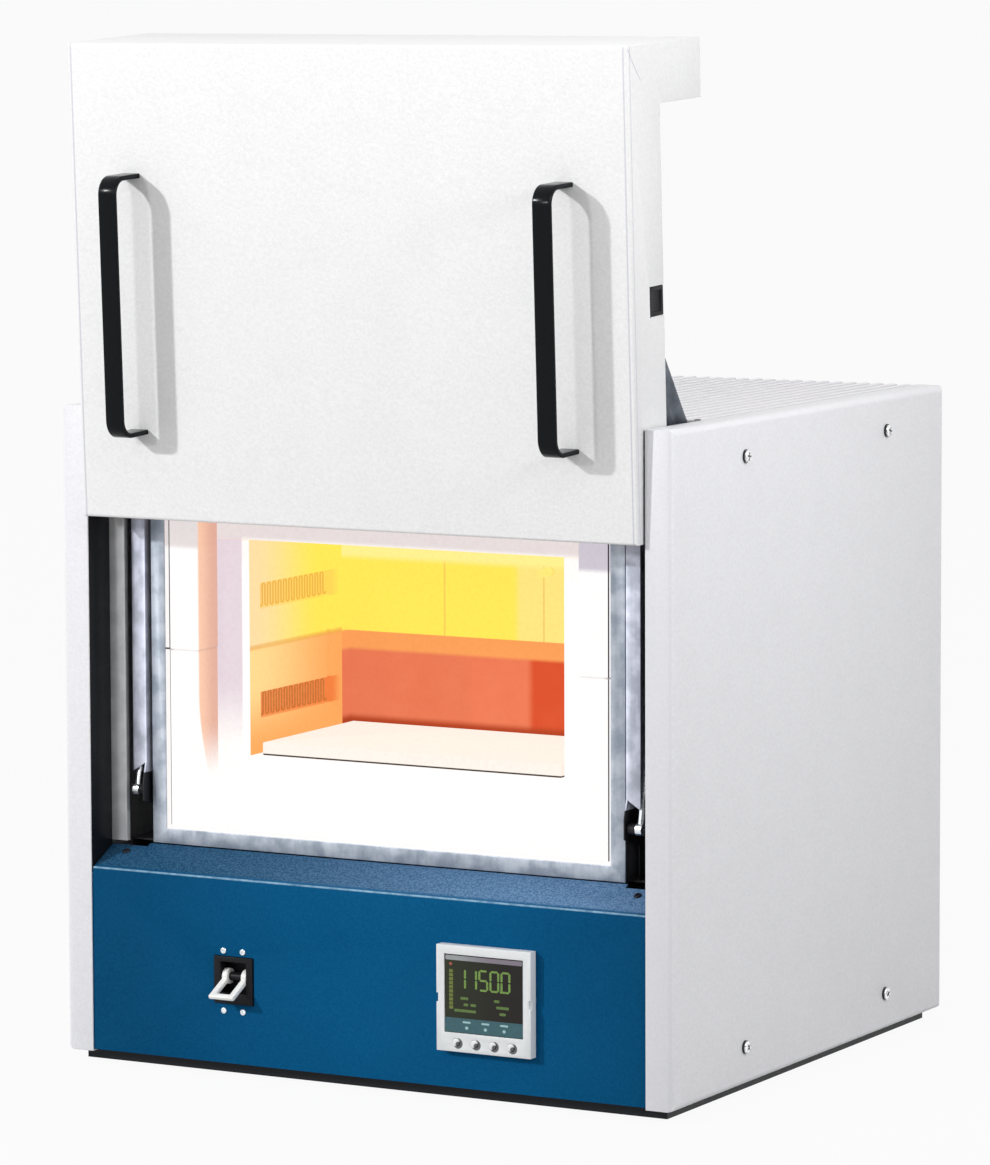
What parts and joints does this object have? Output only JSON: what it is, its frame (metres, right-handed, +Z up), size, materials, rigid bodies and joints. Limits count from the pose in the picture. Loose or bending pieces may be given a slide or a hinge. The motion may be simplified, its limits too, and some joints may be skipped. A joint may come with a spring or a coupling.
{
  "type": "box furnace",
  "caption": "Bench box furnace with a white cabinet, blue control panel, ceramic chamber and a lift-up door on parallel arms.",
  "frame": {"origin": "middle of the bounding box on the surface that the feet stand on, with the door raised", "axes": "+X to the right-hand side, +Y to the rear, +Z up; the front with the door and the control panel faces -Y"},
  "size_m": [0.634, 0.6578, 0.9517],
  "materials": {
    "white_enamel": "satin",
    "blue_enamel": "satin",
    "black_enamel": "satin",
    "frame_steel": "satin",
    "dark_steel": "satin",
    "bright_steel": "polished",
    "heat_sink": "satin",
    "ceramic": "matte",
    "fibre_board": "matte",
    "element_wire": "matte",
    "handle_black": "satin",
    "instrument_grey": "satin",
    "dark_glass": "gloss",
    "breaker_black": "satin",
    "toggle_white": "satin",
    "rubber": "matte"
  },
  "bodies": {
    "cabinet": {"base_pan": "black_enamel", "foot_front_left": "rubber", "foot_front_right": "rubber", "foot_rear_left": "rubber", "foot_rear_right": "rubber", "side_panel_left": "white_enamel", "side_panel_right": "white_enamel", "top_panel": "white_enamel", "rear_panel": "white_enamel", "control_panel": "blue_enamel", "chassis_shelf": "frame_steel", "door_jamb_left": "black_enamel", "door_jamb_right": "black_enamel", "landing_strip_left": "frame_steel", "landing_strip_right": "frame_steel", "pivot_upright_left": "frame_steel", "pivot_upright_right": "frame_steel", "inner_case": "frame_steel", "chamber_frame": "frame_steel", "collar_lower": "ceramic", "collar_upper": "ceramic", "chamber_wall_left": "fibre_board", "chamber_wall_right": "fibre_board", "chamber_roof": "fibre_board", "chamber_floor": "fibre_board", "chamber_rear": "fibre_board", "element_left": "element_wire", "element_right": "element_wire", "hearth_plate": "ceramic", "thermocouple": "bright_steel", "cable_gland": "rubber", "power_relay": "heat_sink", "terminal_block": "breaker_black", "controller_case": "instrument_grey", "controller_bezel": "instrument_grey", "controller_window": "dark_glass", "breaker_body": "breaker_black"},
    "lift_arms": {"lift_arm_left": "dark_steel", "lift_arm_right": "dark_steel"},
    "guide_arms": {"guide_arm_left": "dark_steel", "guide_arm_right": "dark_steel"},
    "door": {"door_shell": "white_enamel", "door_pan": "frame_steel", "door_insulation": "fibre_board", "handle_left": "handle_black", "handle_right": "handle_black"},
    "strut_rods": {"strut_rod_left": "bright_steel", "strut_rod_right": "bright_steel"},
    "strut_cylinders": {"strut_cylinder_left": "dark_steel", "strut_cylinder_right": "dark_steel"},
    "toggle": {"breaker_toggle": "toggle_white"},
    "key_1": {"controller_key_1": "instrument_grey"},
    "key_2": {"controller_key_2": "instrument_grey"},
    "key_3": {"controller_key_3": "instrument_grey"},
    "key_4": {"controller_key_4": "instrument_grey"}
  },
  "joints": [
    {"name": "door_lift", "type": "hinge", "parent": "cabinet", "child": "lift_arms", "pos_m": [0, -0.13457, 0.55445], "axis": [1, 0, 0], "range_deg": [0, 113.4]},
    {"name": "door_pins", "type": "hinge", "parent": "lift_arms", "child": "door", "pos_m": [0, -0.24192, 0.72296], "axis": [1, 0, 0], "range_deg": [-116.1, 0]},
    {"name": "guide_pivots", "type": "hinge", "parent": "cabinet", "child": "guide_arms", "pos_m": [0, -0.13457, 0.40241], "axis": [1, 0, 0], "range_deg": [0, 115.2]},
    {"name": "strut_swing", "type": "hinge", "parent": "cabinet", "child": "strut_rods", "pos_m": [0, -0.22158, 0.2541], "axis": [1, 0, 0], "range_deg": [-2.1, 0]},
    {"name": "strut_stroke", "type": "slide", "parent": "strut_rods", "child": "strut_cylinders", "axis": [0, 0.2127, 0.9771], "range_m": [-0.0495, 0]},
    {"name": "breaker_throw", "type": "hinge", "parent": "cabinet", "child": "toggle", "pos_m": [-0.1359, -0.25378, 0.09355], "axis": [-1, 0, 0], "range_deg": [0, 54]},
    {"name": "key_press_1", "type": "slide", "parent": "cabinet", "child": "key_1", "axis": [0, 1, 0], "range_m": [0, 0.001], "stiffness_N_per_m": 1500},
    {"name": "key_press_2", "type": "slide", "parent": "cabinet", "child": "key_2", "axis": [0, 1, 0], "range_m": [0, 0.001], "stiffness_N_per_m": 1500},
    {"name": "key_press_3", "type": "slide", "parent": "cabinet", "child": "key_3", "axis": [0, 1, 0], "range_m": [0, 0.001], "stiffness_N_per_m": 1500},
    {"name": "key_press_4", "type": "slide", "parent": "cabinet", "child": "key_4", "axis": [0, 1, 0], "range_m": [0, 0.001], "stiffness_N_per_m": 1500}
  ],
  "couplings": [
    {"joint": "door_pins", "follows": "door_lift", "ratio": -1.0229},
    {"joint": "guide_pivots", "follows": "door_lift", "ratio": 1.0147},
    {"joint": "strut_swing", "follows": "door_lift", "ratio": -0.017744},
    {"joint": "strut_stroke", "follows": "door_lift", "m_per_rad": -0.024742}
  ]
}
